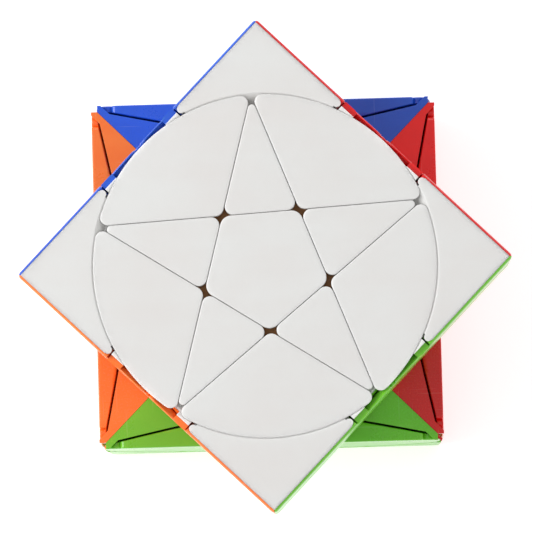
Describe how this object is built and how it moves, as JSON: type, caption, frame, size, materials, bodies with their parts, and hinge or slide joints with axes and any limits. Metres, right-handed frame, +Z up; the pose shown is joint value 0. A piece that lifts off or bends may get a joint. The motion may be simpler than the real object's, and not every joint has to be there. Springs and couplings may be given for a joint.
{
  "type": "star disc cube puzzle",
  "caption": "Cube-shaped twisty puzzle: each face holds a turning disc of pentagon, star points and petals; one layer is stored part turned.",
  "frame": {"origin": "centre of the bottom, on the yellow face that the cube stands on, below the core", "axes": "+Z up along the white and yellow faces' turning axis, towards the white face; +Y towards the blue centre and +X towards the red centre"},
  "size_m": [0.0842, 0.0842, 0.06],
  "materials": {
    "white_plastic": "satin moulded plastic, coloured through",
    "yellow_plastic": "satin moulded plastic, coloured through",
    "blue_plastic": "satin moulded plastic, coloured through",
    "green_plastic": "satin moulded plastic, coloured through",
    "red_plastic": "satin moulded plastic, coloured through",
    "orange_plastic": "satin moulded plastic, coloured through",
    "core_plastic": "matt dark moulded plastic",
    "screw_steel": "bare steel",
    "spring_steel": "bare spring wire"
  },
  "bodies": {
    "cube_body": {"core": "core_plastic", "screw_red": "screw_steel", "spring_red": "spring_steel", "screw_orange": "screw_steel", "spring_orange": "spring_steel", "screw_blue": "screw_steel", "spring_blue": "spring_steel", "screw_green": "screw_steel", "spring_green": "spring_steel", "screw_white": "screw_steel", "spring_white": "spring_steel", "screw_yellow": "screw_steel", "spring_yellow": "spring_steel", "blue_centre": "blue_plastic", "blue_lower_star_and_petals": "blue_plastic", "orange_centre": "orange_plastic", "orange_lower_star_and_petals": "orange_plastic", "green_centre": "green_plastic", "green_lower_star_and_petals": "green_plastic", "red_centre": "red_plastic", "red_lower_star_and_petals": "red_plastic", "corner_yellow_red_blue": "yellow_plastic", "edge_yellow_red": "red_plastic", "edge_red_blue": "red_plastic", "corner_yellow_blue_orange": "yellow_plastic", "edge_yellow_blue": "blue_plastic", "edge_blue_orange": "blue_plastic", "corner_yellow_orange_green": "yellow_plastic", "edge_yellow_orange": "orange_plastic", "edge_orange_green": "orange_plastic", "corner_yellow_green_red": "yellow_plastic", "edge_yellow_green": "green_plastic", "edge_green_red": "green_plastic"},
    "white_layer": {"blue_upper_star_and_petals": "blue_plastic", "orange_upper_star_and_petals": "orange_plastic", "green_upper_star_and_petals": "green_plastic", "red_upper_star_and_petals": "red_plastic", "corner_white_red_blue": "white_plastic", "edge_white_red": "red_plastic", "corner_white_blue_orange": "white_plastic", "edge_white_blue": "blue_plastic", "corner_white_orange_green": "white_plastic", "edge_white_orange": "orange_plastic", "corner_white_green_red": "white_plastic", "edge_white_green": "green_plastic"},
    "white_disc": {"white_centre": "white_plastic", "white_star_point_1": "white_plastic", "white_petal_1": "white_plastic", "white_star_point_2": "white_plastic", "white_petal_2": "white_plastic", "white_star_point_3": "white_plastic", "white_petal_3": "white_plastic", "white_star_point_4": "white_plastic", "white_petal_4": "white_plastic", "white_star_point_5": "white_plastic", "white_petal_5": "white_plastic"},
    "yellow_disc": {"yellow_centre": "yellow_plastic", "yellow_star_and_petals": "yellow_plastic"}
  },
  "joints": [
    {"name": "white_layer_turn", "type": "hinge", "parent": "cube_body", "child": "white_layer", "pos_m": [0, 0, 0.03], "axis": [0, 0, 1], "continuous": true},
    {"name": "white_disc_turn", "type": "hinge", "parent": "white_layer", "child": "white_disc", "pos_m": [0, 0, 0.03], "axis": [0, 0, 1], "continuous": true},
    {"name": "yellow_disc_turn", "type": "hinge", "parent": "cube_body", "child": "yellow_disc", "pos_m": [0, 0, 0.03], "axis": [0, 0, -1], "continuous": true}
  ]
}
